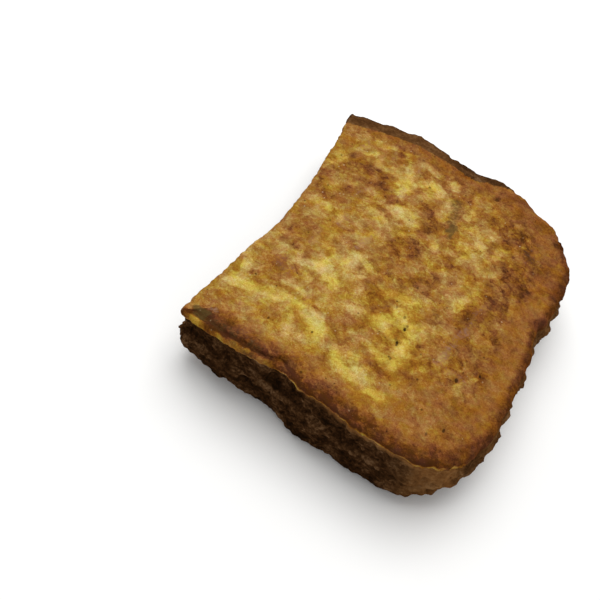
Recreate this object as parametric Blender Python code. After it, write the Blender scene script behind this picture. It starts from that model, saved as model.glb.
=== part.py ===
"""One thick slice of pan bread, dipped in egg and browned on a griddle.

The slice lies flat. X runs up the loaf, from its base to its crown, Y runs across it, from the
front wall to the back wall, and Z is up. The origin is under the middle of the slice's box.
Lengths are in metres.
"""

import math

import bmesh
import bpy
from mathutils import Vector, noise
from mathutils.geometry import intersect_point_line
from mathutils.kdtree import KDTree

NAME = "french_toast_slice"

# The slice's edge seen from above, anticlockwise. Each side starts at its corner. The hollow base
# is near x = 0 and the almost straight crown near x = 0.089, with a soft waist in front and back.
FRONT = ((-0.0009, -0.0004), (0.0030, -0.0013), (0.0120, -0.0023), (0.0220, -0.0031), (0.0320, -0.0019),
         (0.0385, -0.0032), (0.0480, -0.0040), (0.0600, -0.0053), (0.0700, -0.0056), (0.0765, -0.0041))
CROWN = ((0.0832, 0.0016), (0.0873, 0.0082), (0.0889, 0.0190), (0.0891, 0.0330), (0.0887, 0.0450),
         (0.0873, 0.0520), (0.0889, 0.0620), (0.0897, 0.0730), (0.0890, 0.0830))
BACK = ((0.0828, 0.0904), (0.0776, 0.0970), (0.0700, 0.1002), (0.0625, 0.1033), (0.0560, 0.1056),
        (0.0480, 0.1036), (0.0360, 0.1056), (0.0240, 0.1073), (0.0110, 0.1058), (0.0026, 0.1042))
BASE = ((-0.0004, 0.1032), (-0.0013, 0.1010), (0.0008, 0.0900), (0.0024, 0.0760), (0.0037, 0.0640),
        (0.0040, 0.0480), (0.0034, 0.0395), (0.0016, 0.0300), (0.0004, 0.0170), (-0.0012, 0.0034))

# Through the slice.
THICKNESS = 0.0250
BASE_DIP = 0.0020  # fall of the upper face towards the base
BASE_LIFT = 0.0058  # rise of the underside towards the base
BASE_TAPER = 0.030  # length over which both happen
CROWN_DIP = 0.0012
CROWN_LIFT = 0.0046
CROWN_TAPER = 0.026
TAPER_POWER = 1.25  # over 1 makes both steeper towards the ends
FACE_WAVE = 0.0007  # broad unevenness of the upper face
FACE_WAVE_SIZE = 0.027
FACE_WAVE_SEED = 1.7
FACE_PUCKER = 0.0004  # finer unevenness
FACE_PUCKER_SIZE = 0.009
FACE_PUCKER_SEED = 4.1

# A soft shoulder, given by its width from above and its fall, carries the face over to the walls.
# In front and along the base it is thin and sharp, with a hollow in the wall under it. LIP_SIDE
# says which way the edge faces there: towards the front, and a little less towards the base. In
# front it is also raised into a lip of set egg, with a groove inside it.
LIP_SIDE = (-0.9, -1.0)
LIP_FADE = (-0.05, 0.45)
CROWN_FADE = (0.3, 0.9)
BACK_SHOULDER = (0.0044, 0.0030)
CROWN_SHOULDER = (0.0032, 0.0028)
LIP_SHOULDER = (0.0012, 0.0009)
RAISED_FADE = (0.3, 0.8)
LIP_RISE = 0.0006
LIP_INSET = 0.0015
LIP_WIDTH = 0.0030
GROOVE_DEPTH = 0.0009
GROOVE_INSET = 0.0037
GROOVE_WIDTH = 0.0034

# The crust walls.
WALL_BELLY = 0.0006
UNDER_LIP = 0.0013  # depth of the hollow, with the share of the wall's height at its middle and its width
UNDER_LIP_SHARE = 0.76
UNDER_LIP_WIDTH = 0.42
FOOT_INSET = 0.0028
FOOT_HEIGHT = 0.0030
FOOT_REACH = 0.0110  # how far in from the edge the underside's cells are drawn in with it
# Low down, the front wall draws in at one place and bulges at the next: the place along X, the
# width and the amount of each.
FRONT_SWAY = ((0.0235, 0.026, -0.0018), (0.0445, 0.028, 0.0016))
FRONT_FADE = (0.5, 0.9)
CRAG = 0.0014
CRAG_SIZE = 0.0052
CRAG_SEED = 9.2
FRAY = 0.0007  # unevenness of the crust's edge
FRAY_SIZE = 0.0046
FRAY_SEED = 2.3
LIP_FRAY = 0.3  # the share of it that the lip has

# The mesh: cells along X and Y on each face, and rows from the underside up the wall.
CELLS_X = 34
CELLS_Y = 40
FOOT_ROWS = 3
WALL_ROWS = 10
RIM_CROWDING = 0.62  # 0 spaces the cells of a face evenly, 1 crowds them most at its edge
RELAXING = 12  # rounds of easing that open up the cells at the rounded corners
PATH_STEPS = 16  # points on the edge curve between two named ones
EDGE_POINTS = 800  # points on the whole edge, evenly spaced
EASING = 8  # of these, to either side, over which its direction is eased

EGG_CRUST_COLOUR = (0.42, 0.21, 0.05, 1.0)
EGG_CRUST_ROUGHNESS = 0.55


def soft_step(low, high, value):
    """0 below low, 1 above high, and a soft ramp between them."""
    t = min(max((value - low) / (high - low), 0.0), 1.0)
    return t * t * (3.0 - 2.0 * t)


def hump(middle, width, value):
    """1 at the middle, falling softly to 0 at half the width to either side."""
    return 0.5 + 0.5 * math.cos(math.pi * min(abs(value - middle) / (0.5 * width), 1.0))


def ripple(point, size, seed):
    """Soft unevenness between about -1 and 1, with features of the given size."""
    return noise.noise(Vector(point) / size + Vector((seed, 7.3 * seed, -3.1 * seed)))


def smooth_path(points):
    """A closed curve that passes through the points without a kink (Catmull-Rom)."""
    path = []
    for i in range(len(points)):
        before, start, end, after = (Vector(points[(i + k) % len(points)]) for k in (-1, 0, 1, 2))
        for step in range(PATH_STEPS):
            t = step / PATH_STEPS
            path.append(0.5 * (2.0 * start + (end - before) * t
                               + (2.0 * before - 5.0 * start + 4.0 * end - after) * t ** 2
                               + (3.0 * start - before - 3.0 * end + after) * t ** 3))
    return path


def spread(line, shares):
    """The points of a line that lie at the given shares of its length."""
    lengths = [0.0]
    for a, b in zip(line, line[1:]):
        lengths.append(lengths[-1] + (b - a).length)
    points, k = [], 0
    for share in shares:
        wanted = share * lengths[-1]
        while k < len(line) - 2 and lengths[k + 1] < wanted:
            k += 1
        points.append(line[k].lerp(line[k + 1], (wanted - lengths[k]) / (lengths[k + 1] - lengths[k])))
    return points


def crowded(t):
    """A share from 0 to 1, moved towards the nearer end."""
    return t - RIM_CROWDING * math.sin(2.0 * math.pi * t) / (2.0 * math.pi)


class Edge:
    """The slice's edge: a closed curve, its four sides, and how far inside it a point lies."""

    def __init__(self):
        curve = smooth_path(FRONT + CROWN + BACK + BASE)
        self.path = spread(curve + curve[:1], [i / EDGE_POINTS for i in range(EDGE_POINTS)])
        outwards = [self.outward(i) for i in range(EDGE_POINTS)]
        for i, outward in enumerate(outwards):
            point = self.path[i]
            fray = FRAY * (1.0 - (1.0 - LIP_FRAY) * lip_share(outward))
            self.path[i] = point + fray * ripple(point.to_3d(), FRAY_SIZE, FRAY_SEED) * outward
        self.tree = KDTree(EDGE_POINTS)
        for i, point in enumerate(self.path):
            self.tree.insert(point.to_3d(), i)
        self.tree.balance()
        self.sides, start = [], 0
        next_corners = (CROWN[0], BACK[0], BASE[0], FRONT[0])
        for next_corner, cells in zip(next_corners, (CELLS_X, CELLS_Y, CELLS_X, CELLS_Y)):
            end = self.tree.find(Vector(next_corner).to_3d())[1]
            line = [self.path[i % EDGE_POINTS] for i in range(start, (end or EDGE_POINTS) + 1)]
            self.sides.append(spread(line, [crowded(i / cells) for i in range(cells + 1)]))
            start = end

    def outward(self, index):
        """The direction straight out of the slice, eased over a short stretch of the edge."""
        ahead, behind = self.path[(index + EASING) % EDGE_POINTS], self.path[index - EASING]
        return Vector((ahead.y - behind.y, behind.x - ahead.x)).normalized()

    def nearest(self, point):
        """The distance from a point to the edge, and the direction straight out there."""
        _, index, _ = self.tree.find(point.to_3d())
        distance = min(self.gap(point, index - 1), self.gap(point, index))
        return distance, self.outward(index)

    def gap(self, point, index):
        """The distance from a point to one stretch of the edge."""
        a, b = self.path[index], self.path[(index + 1) % EDGE_POINTS]
        share = intersect_point_line(point, a, b)[1]
        return (point - a.lerp(b, min(max(share, 0.0), 1.0))).length

    def inside(self, i, j):
        """The point of a face at cell corner i along X and j along Y (a Coons patch of the sides)."""
        front, crown, back, base = self.sides
        u, v = crowded(i / CELLS_X), crowded(j / CELLS_Y)
        across = front[i] * (1.0 - v) + back[CELLS_X - i] * v
        along = base[CELLS_Y - j] * (1.0 - u) + crown[j] * u
        near = front[0] * (1.0 - u) + front[-1] * u
        far = back[-1] * (1.0 - u) + back[0] * u
        return across + along - near * (1.0 - v) - far * v


def lip_share(outward):
    """1 where the edge is a thin egg lip (front and base), 0 where it is a soft shoulder."""
    return soft_step(*LIP_FADE, outward.dot(Vector(LIP_SIDE)))


def shoulder(outward):
    """The width and the fall of the face's rounded edge, for the side that it is on."""
    lip, crown = lip_share(outward), soft_step(*CROWN_FADE, outward.x)
    return [lip * thin + (1.0 - lip) * (crown * top + (1.0 - crown) * back)
            for thin, top, back in zip(LIP_SHOULDER, CROWN_SHOULDER, BACK_SHOULDER)]


def taper(x, base, crown):
    """A height that is 0 along the middle of the slice and grows towards its base and crown."""
    length = CROWN[3][0]
    return (base * max(1.0 - x / BASE_TAPER, 0.0) ** TAPER_POWER
            + crown * max(1.0 - (length - x) / CROWN_TAPER, 0.0) ** TAPER_POWER)


def top_height(point, depth, outward):
    """The height of the upper face at a point that lies depth inside the edge."""
    width, fall = shoulder(outward)
    raised = soft_step(*RAISED_FADE, -outward.y)
    height = THICKNESS - taper(point.x, BASE_DIP, CROWN_DIP)
    height += FACE_WAVE * ripple(point.to_3d(), FACE_WAVE_SIZE, FACE_WAVE_SEED)
    height += FACE_PUCKER * ripple(point.to_3d(), FACE_PUCKER_SIZE, FACE_PUCKER_SEED)
    height += raised * LIP_RISE * hump(LIP_INSET, LIP_WIDTH, depth)
    height -= raised * GROOVE_DEPTH * hump(GROOVE_INSET, GROOVE_WIDTH, depth)
    short = max(1.0 - depth / width, 0.0)
    return height - fall * (1.0 - math.sqrt(max(1.0 - short * short, 0.0)))


def front_sway(point, outward):
    """How far the foot of the front wall stands proud of the rest."""
    sway = sum(amount * hump(place, width, point.x) for place, width, amount in FRONT_SWAY)
    return sway * soft_step(*FRONT_FADE, -outward.y)


def wall_point(edge, rim, row):
    """The point of the crust wall on one of its rows, over a point of the edge."""
    outward = edge.nearest(rim)[1]
    low = taper(rim.x, BASE_LIFT, CROWN_LIFT)
    high = top_height(rim, 0.0, outward)
    if row <= FOOT_ROWS:
        angle = 0.5 * math.pi * row / FOOT_ROWS
        out = -FOOT_INSET * (1.0 - math.sin(angle))
        height = low + FOOT_HEIGHT * (1.0 - math.cos(angle))
    else:
        out = 0.0
        climb = (row - FOOT_ROWS) / (WALL_ROWS - FOOT_ROWS)
        height = low + FOOT_HEIGHT + (high - low - FOOT_HEIGHT) * climb
    share = (height - low) / (high - low)
    swell = math.sin(math.pi * share)
    out += WALL_BELLY * swell + front_sway(rim, outward) * (1.0 - share)
    out -= UNDER_LIP * lip_share(outward) * hump(UNDER_LIP_SHARE, UNDER_LIP_WIDTH, share)
    place = Vector((rim.x, rim.y, height))
    out += CRAG * math.sqrt(max(swell, 0.0)) * ripple(place, CRAG_SIZE, CRAG_SEED)
    return place + out * outward.to_3d()


def underside_point(edge, point):
    """The point of the underside below a point of the upper face, drawn in from the edge."""
    depth, outward = edge.nearest(point)
    inset = FOOT_INSET - front_sway(point, outward)
    drawn = point - outward * inset * (1.0 - soft_step(0.0, FOOT_REACH, depth))
    return Vector((drawn.x, drawn.y, taper(point.x, BASE_LIFT, CROWN_LIFT)))


def cell_block():
    """A flat grid of cells drawn up row by row into a block, and each corner's row."""
    block = bmesh.new()
    bmesh.ops.create_grid(block, x_segments=CELLS_X, y_segments=CELLS_Y, size=1.0)
    underside = cap = block.faces[:]
    for _ in range(WALL_ROWS):
        drawn = bmesh.ops.extrude_face_region(block, geom=cap)["geom"]
        if cap is not underside:
            bmesh.ops.delete(block, geom=cap, context="FACES")
        cap = [part for part in drawn if isinstance(part, bmesh.types.BMFace)]
        corners = [part for part in drawn if isinstance(part, bmesh.types.BMVert)]
        bmesh.ops.translate(block, verts=corners, vec=(0.0, 0.0, 1.0))
    return block, {vert: round(vert.co.z) for vert in block.verts}


def bread_mesh():
    """The block of cells, laid out to the slice's edge and then moulded."""
    block, rows = cell_block()
    edge = Edge()
    for vert in block.verts:
        i = round(0.5 * (vert.co.x + 1.0) * CELLS_X)
        j = round(0.5 * (vert.co.y + 1.0) * CELLS_Y)
        vert.co = edge.inside(i, j).to_3d()
    caps = (0, WALL_ROWS)
    inner = [vert for vert in block.verts
             if rows[vert] in caps and all(rows[side.other_vert(vert)] in caps for side in vert.link_edges)]
    for _ in range(RELAXING):
        bmesh.ops.smooth_vert(block, verts=inner, factor=0.5, use_axis_x=True, use_axis_y=True)
    for vert in block.verts:
        point = vert.co.to_2d()
        if rows[vert] == 0:
            vert.co = underside_point(edge, point)
        elif rows[vert] < WALL_ROWS:
            vert.co = wall_point(edge, point, rows[vert])
        else:
            vert.co = (point.x, point.y, top_height(point, *edge.nearest(point)))
    low, high = (Vector(pick(vert.co[axis] for vert in block.verts) for axis in range(3))
                 for pick in (min, max))
    middle = 0.5 * (low + high)
    bmesh.ops.translate(block, verts=block.verts, vec=(-middle.x, -middle.y, -low.z))
    bmesh.ops.triangulate(block, faces=block.faces)
    bmesh.ops.recalc_face_normals(block, faces=block.faces)
    mesh = bpy.data.meshes.new(NAME)
    block.to_mesh(mesh)
    block.free()
    mesh.shade_smooth()
    return mesh


def egg_crust():
    """The browned egg coat over the whole slice."""
    material = bpy.data.materials.new("browned_egg_crust")
    material.use_nodes = True
    shader = material.node_tree.nodes["Principled BSDF"]
    shader.inputs["Base Color"].default_value = EGG_CRUST_COLOUR
    shader.inputs["Roughness"].default_value = EGG_CRUST_ROUGHNESS
    shader.inputs["Metallic"].default_value = 0.0
    return material


def main():
    for thing in list(bpy.data.objects):
        bpy.data.objects.remove(thing)
    shelf = bpy.data.collections.new(NAME + "_parts")
    bpy.context.scene.collection.children.link(shelf)
    bread = bpy.data.objects.new(NAME, bread_mesh())
    bread.data.materials.append(egg_crust())
    shelf.objects.link(bread)


main()
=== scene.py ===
"""The looks of one thick slice of pan bread, dipped in egg and browned on a griddle.

The slice lies flat on a pale floor. X runs up the loaf, from its base to its crown, Y runs across
it, from the front wall to the back wall, and Z is up. Lengths are in metres, unless MM is named.
"""

import math
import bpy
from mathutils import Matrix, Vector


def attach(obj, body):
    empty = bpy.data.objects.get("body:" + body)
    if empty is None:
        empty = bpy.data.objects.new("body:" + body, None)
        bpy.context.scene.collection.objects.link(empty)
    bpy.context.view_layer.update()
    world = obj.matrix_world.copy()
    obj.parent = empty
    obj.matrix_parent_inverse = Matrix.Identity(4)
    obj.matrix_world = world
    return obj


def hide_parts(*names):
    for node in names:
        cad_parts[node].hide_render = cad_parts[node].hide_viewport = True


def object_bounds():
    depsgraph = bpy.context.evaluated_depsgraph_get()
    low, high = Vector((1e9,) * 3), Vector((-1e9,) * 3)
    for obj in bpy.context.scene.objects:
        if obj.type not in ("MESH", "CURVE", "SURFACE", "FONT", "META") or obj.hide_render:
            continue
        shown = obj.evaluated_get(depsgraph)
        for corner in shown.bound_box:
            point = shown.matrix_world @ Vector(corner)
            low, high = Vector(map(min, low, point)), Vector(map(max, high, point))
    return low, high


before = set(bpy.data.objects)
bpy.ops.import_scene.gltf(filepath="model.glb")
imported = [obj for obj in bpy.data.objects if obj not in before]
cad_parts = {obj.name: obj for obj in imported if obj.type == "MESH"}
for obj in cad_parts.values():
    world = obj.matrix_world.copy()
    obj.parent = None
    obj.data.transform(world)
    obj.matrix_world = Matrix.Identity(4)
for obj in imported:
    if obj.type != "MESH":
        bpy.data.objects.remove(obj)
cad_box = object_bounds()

from types import SimpleNamespace

import bpy
import numpy as np
from mathutils import Matrix, Vector, noise
from mathutils.kdtree import KDTree

MM = 0.001

# The slice's edge seen from above, anticlockwise, as in the solid. Each side starts at its corner.
FRONT = ((-0.0009, -0.0004), (0.0030, -0.0013), (0.0120, -0.0023), (0.0220, -0.0031), (0.0320, -0.0019),
         (0.0385, -0.0032), (0.0480, -0.0040), (0.0600, -0.0053), (0.0700, -0.0056), (0.0765, -0.0041))
CROWN = ((0.0832, 0.0016), (0.0873, 0.0082), (0.0889, 0.0190), (0.0891, 0.0330), (0.0887, 0.0450),
         (0.0873, 0.0520), (0.0889, 0.0620), (0.0897, 0.0730), (0.0890, 0.0830))
BACK = ((0.0828, 0.0904), (0.0776, 0.0970), (0.0700, 0.1002), (0.0625, 0.1033), (0.0560, 0.1056),
        (0.0480, 0.1036), (0.0360, 0.1056), (0.0240, 0.1073), (0.0110, 0.1058), (0.0026, 0.1042))
BASE = ((-0.0004, 0.1032), (-0.0013, 0.1010), (0.0008, 0.0900), (0.0024, 0.0760), (0.0037, 0.0640),
        (0.0040, 0.0480), (0.0034, 0.0395), (0.0016, 0.0300), (0.0004, 0.0170), (-0.0012, 0.0034))
LENGTH = 0.0891  # from the base to the crown
MIDDLE = np.array((0.0449, 0.0508))  # of the box round the slice, in the coordinates above

# Through the slice, as in the solid. Each shoulder is the width and the fall of the face's edge.
THICKNESS = 0.0250
BASE_DIP, BASE_LIFT, BASE_TAPER = 0.0020, 0.0058, 0.030
CROWN_DIP, CROWN_LIFT, CROWN_TAPER = 0.0012, 0.0046, 0.026
TAPER_POWER = 1.25
BACK_SHOULDER = (0.0044, 0.0030)
CROWN_SHOULDER = (0.0032, 0.0028)
LIP_SHOULDER = (0.0009, 0.0008)
WALL_BELLY = 0.0006
FOOT_INSET, FOOT_HEIGHT, FOOT_REACH = 0.0028, 0.0030, 0.0110
FRONT_SWAY = ((0.0235, 0.026, -0.0018), (0.0445, 0.028, 0.0016))  # place along X, width, how far out

# How squarely the edge has to face a side for each part of it to begin there and to be full. The
# lip's side is a direction along X and Y.
LIP_SIDE, LIP_FADE = (-0.9, -1.0), (-0.05, 0.45)
CROWN_FADE = (0.3, 0.9)
SWAY_FADE = (0.5, 0.9)
BORDER_FADE = (0.3, 0.8)
FRONT_WALL_FADE = (0.2, 0.7)

# Unevenness: how far, over what size, and the noise's seed.
FACE_WAVES = ((0.0007, 0.027, 1.7), (0.0004, 0.009, 4.1), (0.00022, 0.0012, 5.9))
FIBRE = (0.00022, 0.0019, 3.3)
FIBRE_STRETCH = 1.8  # along X
FRAY = (0.0007, 0.0046, 2.3)
LIP_FRAY = 0.3  # the share of it that the egg lip has
TEETH = (0.0005, 0.0017, 6.4)  # the edge's finest fraying
LIP_WAVES = ((0.0007, 0.0048, 10.1), (0.0004, 0.0017, 10.7))
GROOVE_WANDER = (0.0008, 0.009, 8.8)
CRAG = (0.0014, 0.0052, 9.2)
BARK = ((0.0006, 0.0021, 14.2), (0.00035, 0.0011, 15.7))
CREASE_WANDER = (0.24, 0.020, 51.0)  # how far as a share of the wall's height
UNDER_RELIEF = ((0.00012, 0.006, 61.0), (0.00008, 0.0018, 62.0))

# The lip of set egg along the front, and the groove inside it.
LIP_INSET, LIP_WIDTH, LIP_RISE = 0.0011, 0.0022, 0.0004
LIP_WAVE_END = (0.0012, 0.0030)
GROOVE_INSET, GROOVE_WIDTH, GROOVE_DEPTH = 0.0025, 0.0024, 0.0009
RIDGE_LOSS, RIDGE_FADE = 0.7, (-18.0, -4.0)  # what the lip loses towards the crown, in MM along X

# Fine relief of the upper face. Pits and lumps are a place, a radius and a depth or height in MM.
BROWN_RISE, EVEN_EDGE = 0.0004, 0.0050
NAMED_PITS = (
    (9.3, -20.7, 1.0, 0.9), (9.5, -26.0, 1.1, 0.9), (28.5, -27.5, 1.5, 0.8), (33.5, -22.5, 1.2, 0.8),
    (31.5, -43.3, 0.9, 0.6), (28.0, -47.0, 0.8, 0.5), (-12.0, -37.0, 0.8, 0.5), (-25.0, -40.0, 0.8, 0.4),
    (-4.0, -45.0, 0.8, 0.4), (-33.0, -48.0, 0.8, 0.4), (12.3, 44.0, 1.6, 0.8),
)
NAMED_LUMPS = ((22, -26, 3.0, 0.5), (26, -26, 3.2, 0.6), (30, -27, 3.0, 0.5), (32, -24, 3.0, 0.5))
PITS, PIT_SEED = 46, 11
PIT_FIELD = np.array((39.6, 47.25))  # half the length and width that they are scattered over, in MM
PIT_RADIUS, PIT_DEPTH = (0.5, 0.6), (0.2, 0.4)  # the least, and how much more at most, in MM

# The bark of the crust walls, and the hollow under the egg lip.
LIP_THICK = (0.0005, 0.0015)  # the egg lip's edge fades out between these depths below the face
HOLLOW, HOLLOW_END = 0.0019, (0.0040, 0.0150)
FILLING, FILLING_FADE = 0.75, (-22.0, 0.0)  # what the hollow loses towards the crown, in MM along X
PORE_DEPTH, PORE_SIZE, PORE_SEED, PORE_EDGE = 0.0007, 0.0017, 12.6, (0.18, 0.50)
CREASE_HEIGHT, CREASE_WIDTH, CREASE_SHARE = 0.0009, 0.0042, 0.55  # the last is of the wall's height

# The mesh: cells along X and Y on each face, and rows from the underside up the wall.
CELLS_X, CELLS_Y = 164, 204
FOOT_ROWS, WALL_ROWS = 7, 38
RIM_CROWDING = 0.45
RELAXING = 260
PATH_STEPS = 40
EDGE_POINTS = 2400
EASING = 24

# The griddle's browning, as brush strokes on the upper face in MM from the slice's middle: how
# strong, half the width, and the places that the stroke runs through. Pale ones are where the bread
# hollowed away from the griddle, dark ones where it pressed hardest.
BROAD_DARK = (
    (0.85, 7, (29, 34), (33, 18), (31, 6)), (0.75, 8, (22, 42), (34, 36)), (0.40, 9, (31, -4), (30, -20)),
    (0.35, 8, (35, -24), (37, -38)), (0.50, 3, (-35, 31.5), (-29, 28.5)),
    (0.50, 2.6, (-28, 25), (-16, 22.5)), (0.30, 13, (12, 24), (24, 22)), (0.45, 5, (-32, 30), (-21, 26)),
    (0.30, 6, (-34, -6), (-30, -21)), (0.30, 5, (-2, -26), (-3, -16), (-3, -4)),
    (0.35, 4, (-2, 20), (-3, 6)),
)
BROAD_PALE = (
    (0.50, 3, (-30, 36.5), (-14, 36), (-4, 34.5)), (0.60, 3.5, (-16, 34), (-14.5, 27)),
    (0.60, 3.5, (-12, 17.5), (-8, 17.5)), (0.50, 6, (-22, -15), (-13, -11)),
    (0.50, 5, (-38, -32), (-25, -32), (-12, -36)), (0.40, 5, (4, -14), (4, -22), (11, -29)),
    (0.45, 4, (-1, -41), (12, -43)), (0.30, 5, (12, 27), (14, 14)), (0.25, 6, (-33, 5), (-18, 4)),
    (0.25, 4, (-32, 39), (-38, 28)), (0.55, 16, (-30, -25), (-10, -25)),
)
PALE_STROKES = (
    (0.60, 1.7, (-38, 41.5), (-36, 44)), (0.75, 1.3, (-31.5, 43.5), (-27, 42.8)),
    (0.80, 1.2, (-14, 42.5), (-11.5, 43), (-8.5, 42)), (0.90, 1.1, (-2.5, 41.5), (-0.5, 39.5)),
    (0.45, 1.0, (-34.5, 40), (-35.2, 36)), (0.50, 1.0, (-33, 36.5), (-29, 37.8)),
    (0.70, 1.7, (-26, 34), (-22, 34.5), (-18, 34)),
    (0.95, 1.4, (-17.5, 39), (-16.5, 35), (-14.5, 30), (-14.5, 25.5)), (0.80, 2.0, (-17, 31), (-13, 30.5)),
    (0.65, 1.6, (-10.5, 33.5), (-8, 36), (-5, 35)), (0.45, 1.3, (-8, 29.5), (-5, 31.5)),
    (1.00, 1.8, (0.5, 32), (1, 28), (0, 25)), (0.60, 1.4, (-39.5, 32), (-39, 26)),
    (0.55, 0.9, (-36, 19), (-33, 17), (-33.5, 20), (-29.5, 20)),
    (0.75, 1.1, (-23, 21.5), (-18.5, 20), (-13, 17.5)), (0.95, 2.4, (-12, 18.5), (-7.5, 17.8)),
    (0.60, 1.4, (-8, 16), (-4.5, 12)), (0.70, 1.4, (-20, 14.5), (-17, 13.5), (-14.5, 11), (-11.5, 10.5)),
    (0.75, 1.8, (-37, 8), (-35, 7.5), (-32, 7)), (0.60, 1.2, (-34, 3.2), (-31, 2.8)),
    (0.70, 1.1, (-27, 6.5), (-25.5, 4)), (0.55, 1.3, (-19.5, 5.5), (-18.3, 2)),
    (0.50, 1.1, (-13, 9), (-9.5, 8.5)), (0.45, 1.0, (-11.5, 5)), (0.50, 1.0, (-14.3, 5), (-15.5, 0)),
    (0.50, 1.0, (-6, 11.5), (-1, 11)), (0.50, 1.1, (-38.5, -5), (-38.5, -9.5)),
    (0.50, 1.1, (-34.5, -14.5), (-32.5, -16.5), (-29.5, -15)),
    (1.00, 1.6, (-28, -17.5), (-24, -16.2), (-20, -16), (-18, -18)),
    (0.90, 1.9, (-20, -15), (-19.5, -11.5), (-16, -9.5), (-14.5, -6)),
    (0.70, 1.7, (-17, -13), (-12, -12.5)), (0.90, 1.6, (-17, -17), (-14.2, -19.5)),
    (0.65, 1.1, (-11.8, -4.8), (-10, -10.5)), (0.40, 1.1, (-8, -16.5), (-7.8, -20)),
    (0.80, 1.5, (-8, -24), (-5, -22.8)), (0.80, 1.3, (-2.5, -11.5), (0.5, -12)),
    (0.60, 0.9, (-26, -26), (-21, -27)), (0.60, 1.3, (-25, -19.5), (-22.5, -21.5)),
    (0.60, 1.3, (-15.5, -22), (-14.8, -28)), (0.75, 1.7, (-40, -27), (-39.5, -31)),
    (0.95, 1.9, (-41, -33.5), (-36, -33), (-29, -32.5)),
    (0.95, 1.5, (-28.5, -33), (-25, -31.5), (-22.5, -32)), (0.75, 1.6, (-19, -31.5), (-14, -33)),
    (1.00, 2.1, (-13, -34), (-10.8, -37)), (0.80, 1.6, (-20.5, -37), (-18.5, -40.5)),
    (0.50, 1.4, (-14, -41), (-11, -41)), (0.35, 1.2, (-31, -37), (-27.5, -36)),
    (0.65, 1.3, (-4, -38.5), (-1.5, -40.5)), (0.60, 0.9, (6, 41.5), (6, 38.5), (8, 36.5)),
    (0.65, 1.1, (12, 38), (15, 37), (17, 34.5)), (0.75, 1.3, (8.5, 34), (9.5, 31), (7.5, 30)),
    (0.50, 1.0, (25, 38.5), (28, 39)), (0.80, 1.2, (11, 28), (10.5, 25.5)),
    (0.95, 1.6, (17, 28.5), (14, 26), (14.5, 23), (16, 21.5)),
    (0.80, 1.1, (26, 28.5), (26, 25.8), (28, 25)), (0.75, 1.6, (22.5, 23.5), (21, 20.5)),
    (0.90, 1.0, (10.5, 18), (14, 17.5)), (0.85, 1.2, (14, 17), (14.5, 14.5), (17.5, 13.5)),
    (0.50, 0.9, (16, 18), (19, 17)), (0.80, 1.1, (13.5, 14), (12.5, 11.5)),
    (0.75, 1.3, (18.5, 11.5), (21.5, 12), (24, 14)), (0.85, 1.4, (1, 15.5), (3.2, 14)),
    (0.90, 1.2, (3.2, 14), (3.3, 10.5)), (0.60, 1.2, (7.5, 12.5), (9.5, 12.3)),
    (0.80, 0.9, (31.5, 8.5), (31.8, 4.5), (33, 1.5)), (0.85, 1.1, (9, 4), (12, 3)),
    (0.55, 1.1, (1.5, 7.5), (5, 4.5), (6, 2.5)), (0.55, 1.2, (15, 6.5), (17, 4)),
    (0.55, 1.4, (21, 8.5), (21.5, 3)), (0.45, 1.1, (0, 2.5), (2, 1)),
    (0.95, 1.7, (19.2, -1.5), (18.2, -5.5)), (0.35, 1.2, (33, 33), (36, 32)),
    (0.80, 1.3, (-2, -12), (3, -11.8), (6.5, -11)), (0.50, 1.0, (3.5, -10), (3.5, -7.5)),
    (1.00, 1.5, (4.5, -16.5), (6.5, -18.5), (8, -20)), (1.00, 1.7, (3, -20.5), (1.5, -22.5), (4.5, -24.5)),
    (0.70, 1.1, (4.5, -24.5), (7, -26.5)), (0.95, 2.1, (11.5, -19.5), (12.5, -21.5)),
    (0.65, 1.3, (13.5, -17), (17.5, -15.5), (20, -12.5)), (1.00, 1.4, (11, -26), (11, -30)),
    (0.75, 1.5, (11, -30), (11.5, -33.5)), (0.80, 1.1, (3.5, -31.5), (6.5, -33.5), (9, -33)),
    (0.95, 1.9, (-2, -42), (2, -42.5), (6.5, -41.5)), (0.90, 1.4, (8, -43.5), (12.5, -44)),
    (0.50, 1.2, (-0.5, -38), (3, -37.8)), (0.90, 0.9, (21.3, -26.7), (22, -26)), (0.60, 0.9, (25, -26.5)),
    (0.90, 1.0, (31, -27.5), (29.5, -29), (29.3, -31)), (0.70, 0.9, (32.5, -24.5)),
    (0.70, 0.8, (17.5, -32.5), (19.5, -31)), (0.50, 0.8, (19, -39.5)), (0.60, 0.8, (27.5, -11.5)),
    (0.50, 1.0, (32, -4)), (0.50, 0.8, (10.5, -3)), (0.60, 1.1, (8.8, -8), (9.3, -10)),
)
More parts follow.
